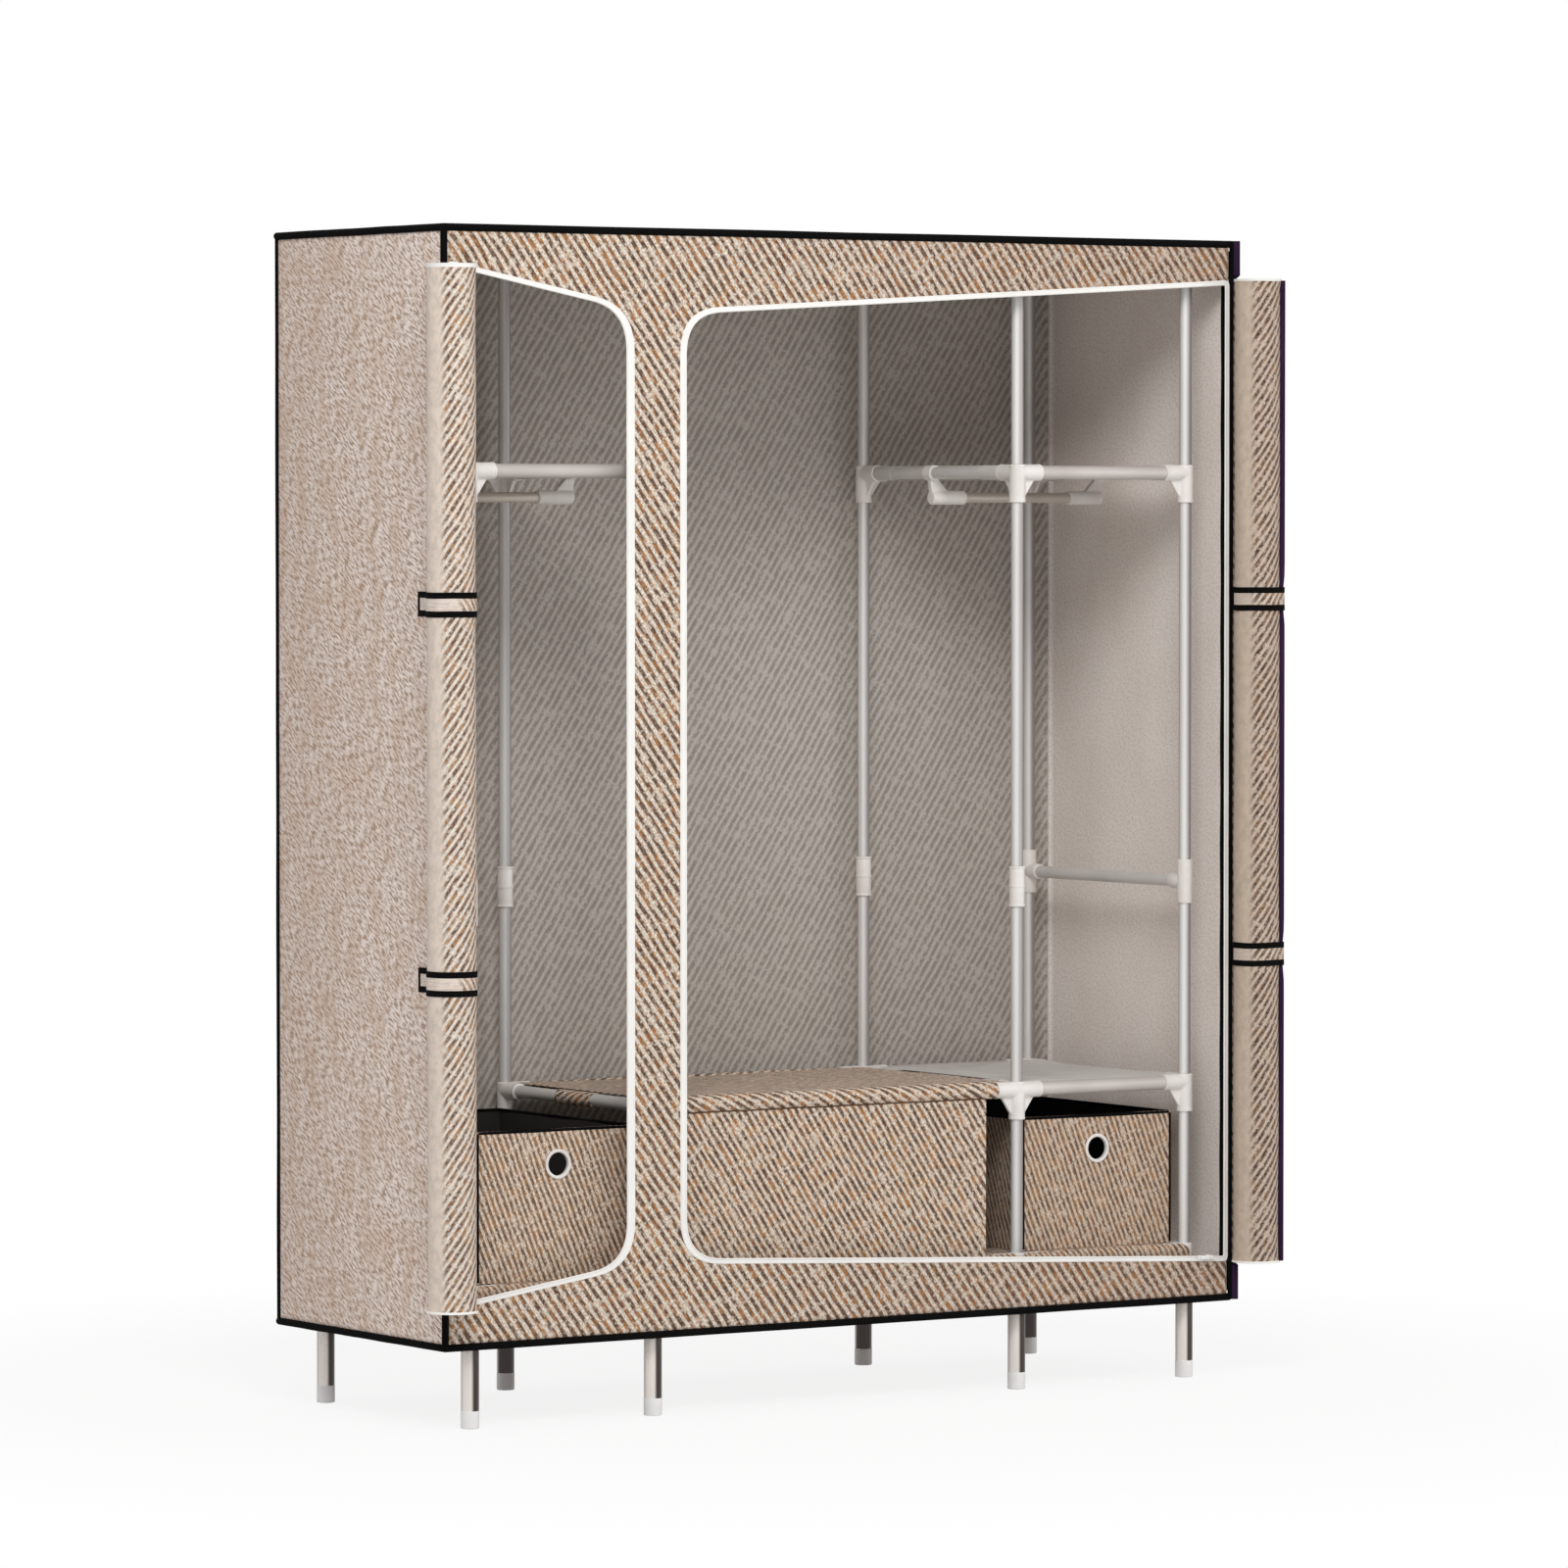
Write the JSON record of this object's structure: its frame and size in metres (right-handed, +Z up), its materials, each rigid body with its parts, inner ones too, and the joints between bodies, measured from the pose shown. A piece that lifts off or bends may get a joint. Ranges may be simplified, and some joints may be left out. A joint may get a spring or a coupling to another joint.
{
  "type": "portable fabric wardrobe",
  "caption": "Free-standing wardrobe of white steel tubes under a printed cloth cover, with rolled-up zip doors, cloth shelves, sliding hanging rods and loose storage boxes.",
  "frame": {"origin": "centre of the footprint on the floor, under the middle of the whole object with its door rolls", "axes": "+Z up, +X to the right seen from the front, -Y out of the front where the doors are"},
  "size_m": [1.4733, 0.5418, 1.7],
  "materials": {
    "painted_steel": "white powder coat, semi-gloss",
    "white_plastic": "moulded, satin",
    "linen": "printed linen look, cream with brown slanting strokes",
    "pale_linen": "printed linen look, paler and finer",
    "grey_cloth": "plain nonwoven cloth",
    "black_binding": "woven edge binding",
    "white_tape": "woven zip tape",
    "zip_slider": "painted die-cast"
  },
  "bodies": {
    "wardrobe": {"post_front_1": "painted_steel", "post_front_2": "painted_steel", "post_front_3": "painted_steel", "post_front_4": "painted_steel", "post_back_1": "painted_steel", "post_back_2": "painted_steel", "post_back_3": "painted_steel", "post_back_4": "painted_steel", "rail_top_depth_1": "painted_steel", "rail_top_depth_2": "painted_steel", "rail_top_depth_3": "painted_steel", "rail_top_depth_4": "painted_steel", "rail_upper_depth_1": "painted_steel", "rail_upper_depth_2": "painted_steel", "rail_upper_depth_3": "painted_steel", "rail_upper_depth_4": "painted_steel", "rail_lower_depth_2": "painted_steel", "rail_lower_depth_3": "painted_steel", "rail_lower_depth_4": "painted_steel", "rail_bottom_depth_left": "painted_steel", "rail_bottom_depth_right": "painted_steel", "rail_top_front": "white_plastic", "rail_top_back": "white_plastic", "rail_upper_left_front": "white_plastic", "rail_upper_left_back": "white_plastic", "rail_upper_right_front": "white_plastic", "rail_upper_right_back": "white_plastic", "rail_lower_front": "white_plastic", "rail_lower_back": "white_plastic", "rail_bottom_front": "white_plastic", "rail_bottom_back": "white_plastic", "brace_middle_left": "white_plastic", "brace_middle_right": "white_plastic", "cover_front": "linen", "cover_top": "linen", "door_roll_left": "linen", "door_roll_right": "linen", "strap_left_lower": "linen", "strap_left_upper": "linen", "strap_right_lower": "linen", "strap_right_upper": "linen", "shelf_lower_middle": "linen", "shelf_bottom": "linen", "cover_back": "pale_linen", "cover_side_left": "pale_linen", "cover_side_right": "pale_linen", "shelf_upper_left": "grey_cloth", "shelf_upper_right": "grey_cloth", "shelf_lower_right": "grey_cloth", "cover_piping": "black_binding", "zip_tape_left": "white_tape", "zip_tape_right": "white_tape"},
    "left_rod": {"hanging_rod_left": "white_plastic"},
    "middle_rod": {"hanging_rod_middle": "white_plastic"},
    "right_rod": {"hanging_rod_right": "white_plastic"},
    "left_box": {"storage_box_left": "linen"},
    "right_box": {"storage_box_right": "linen"},
    "left_slider": {"zip_slider_left": "zip_slider"},
    "right_slider": {"zip_slider_right": "zip_slider"}
  },
  "joints": [
    {"name": "left_rod_slide", "type": "slide", "parent": "wardrobe", "child": "left_rod", "axis": [0, 1, 0], "range_m": [-0.12, 0.08]},
    {"name": "middle_rod_slide", "type": "slide", "parent": "wardrobe", "child": "middle_rod", "axis": [0, 1, 0], "range_m": [-0.14, 0.14]},
    {"name": "right_rod_slide", "type": "slide", "parent": "wardrobe", "child": "right_rod", "axis": [0, 1, 0], "range_m": [-0.12, 0.08]},
    {"name": "left_box_lift", "type": "slide", "parent": "wardrobe", "child": "left_box", "axis": [0, 0, 1], "range_m": [0, 0.35]},
    {"name": "right_box_pull", "type": "slide", "parent": "wardrobe", "child": "right_box", "axis": [0, -1, 0], "range_m": [0, 0.32]},
    {"name": "left_zip", "type": "slide", "parent": "wardrobe", "child": "left_slider", "axis": [0.9886, 0, 0.1508], "range_m": [0, 0.19]},
    {"name": "right_zip", "type": "slide", "parent": "wardrobe", "child": "right_slider", "axis": [-0.9989, 0, 0.0468], "range_m": [0, 0.85]}
  ]
}
